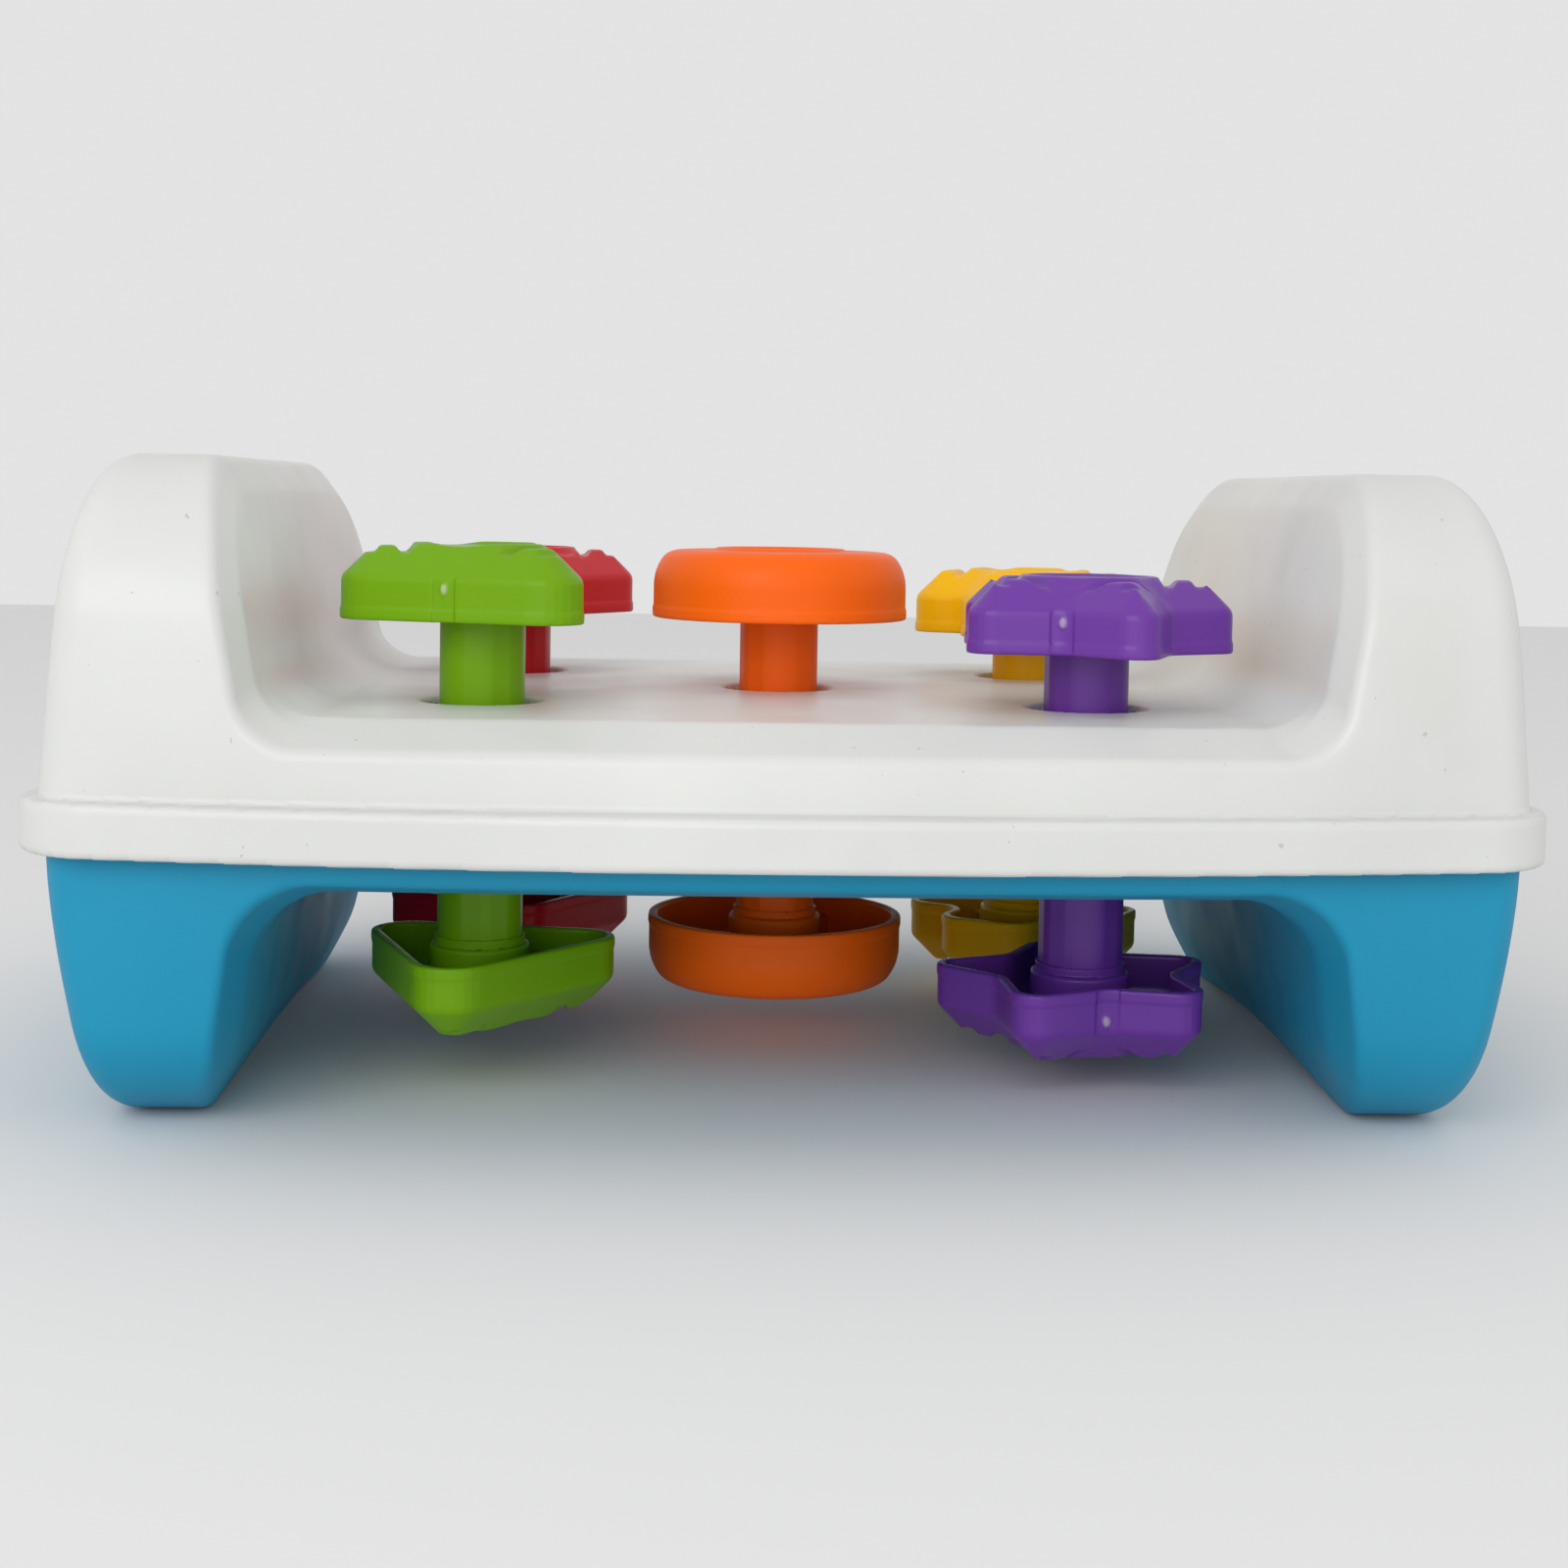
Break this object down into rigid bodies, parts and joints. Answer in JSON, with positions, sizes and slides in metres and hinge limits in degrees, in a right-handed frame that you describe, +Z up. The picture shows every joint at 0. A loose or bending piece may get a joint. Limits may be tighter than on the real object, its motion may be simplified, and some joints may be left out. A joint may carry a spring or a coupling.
{
  "type": "toy workbench",
  "caption": "Toddler's tap-and-turn toy workbench: a white and teal moulded bench with coloured shape-headed pegs that turn and slide through it.",
  "frame": {"origin": "middle of the footprint, on the surface the feet stand on", "axes": "+X along the bench, -Y towards the front, +Z up"},
  "size_m": [0.317, 0.2308, 0.139],
  "materials": {
    "white_shell": "semi-gloss moulded",
    "teal_shell": "fine satin moulded",
    "screw_steel": "zinc plated",
    "green_plastic": "semi-gloss moulded",
    "purple_plastic": "semi-gloss moulded",
    "orange_plastic": "fine-grained moulded",
    "red_plastic": "semi-gloss moulded",
    "yellow_plastic": "semi-gloss moulded",
    "collar_plastic": "natural",
    "friction_rubber": "matte"
  },
  "bodies": {
    "bench": {"top_shell": "white_shell", "bottom_shell": "teal_shell", "screws": "screw_steel"},
    "grip_green": {"collar_green": "collar_plastic", "ring_green": "friction_rubber"},
    "peg_green": {"peg_green": "green_plastic", "cap_green": "green_plastic"},
    "grip_purple": {"collar_purple": "collar_plastic", "ring_purple": "friction_rubber"},
    "peg_purple": {"peg_purple": "purple_plastic", "cap_purple": "purple_plastic"},
    "grip_orange": {"collar_orange": "collar_plastic", "ring_orange": "friction_rubber"},
    "peg_orange": {"peg_orange": "orange_plastic", "cap_orange": "orange_plastic"},
    "grip_red": {"collar_red": "collar_plastic", "ring_red": "friction_rubber"},
    "peg_red": {"peg_red": "red_plastic", "cap_red": "red_plastic"},
    "grip_yellow": {"collar_yellow": "collar_plastic", "ring_yellow": "friction_rubber"},
    "peg_yellow": {"peg_yellow": "yellow_plastic", "cap_yellow": "yellow_plastic"}
  },
  "joints": [
    {"name": "turn_green", "type": "hinge", "parent": "bench", "child": "grip_green", "pos_m": [-0.068, -0.045, 0.067], "axis": [0, 0, 1], "continuous": true},
    {"name": "slide_green", "type": "slide", "parent": "grip_green", "child": "peg_green", "axis": [0, 0, 1], "range_m": [-0.0153, 0.0155]},
    {"name": "turn_purple", "type": "hinge", "parent": "bench", "child": "grip_purple", "pos_m": [0.068, -0.045, 0.067], "axis": [0, 0, 1], "continuous": true},
    {"name": "slide_purple", "type": "slide", "parent": "grip_purple", "child": "peg_purple", "axis": [0, 0, 1], "range_m": [-0.0101, 0.0207]},
    {"name": "turn_orange", "type": "hinge", "parent": "bench", "child": "grip_orange", "pos_m": [0, 0, 0.067], "axis": [0, 0, 1], "continuous": true},
    {"name": "slide_orange", "type": "slide", "parent": "grip_orange", "child": "peg_orange", "axis": [0, 0, 1], "range_m": [-0.0142, 0.0166]},
    {"name": "turn_red", "type": "hinge", "parent": "bench", "child": "grip_red", "pos_m": [-0.068, 0.045, 0.067], "axis": [0, 0, 1], "continuous": true},
    {"name": "slide_red", "type": "slide", "parent": "grip_red", "child": "peg_red", "axis": [0, 0, 1], "range_m": [-0.0127, 0.0181]},
    {"name": "turn_yellow", "type": "hinge", "parent": "bench", "child": "grip_yellow", "pos_m": [0.068, 0.045, 0.067], "axis": [0, 0, 1], "continuous": true},
    {"name": "slide_yellow", "type": "slide", "parent": "grip_yellow", "child": "peg_yellow", "axis": [0, 0, 1], "range_m": [-0.0087, 0.0221]}
  ]
}
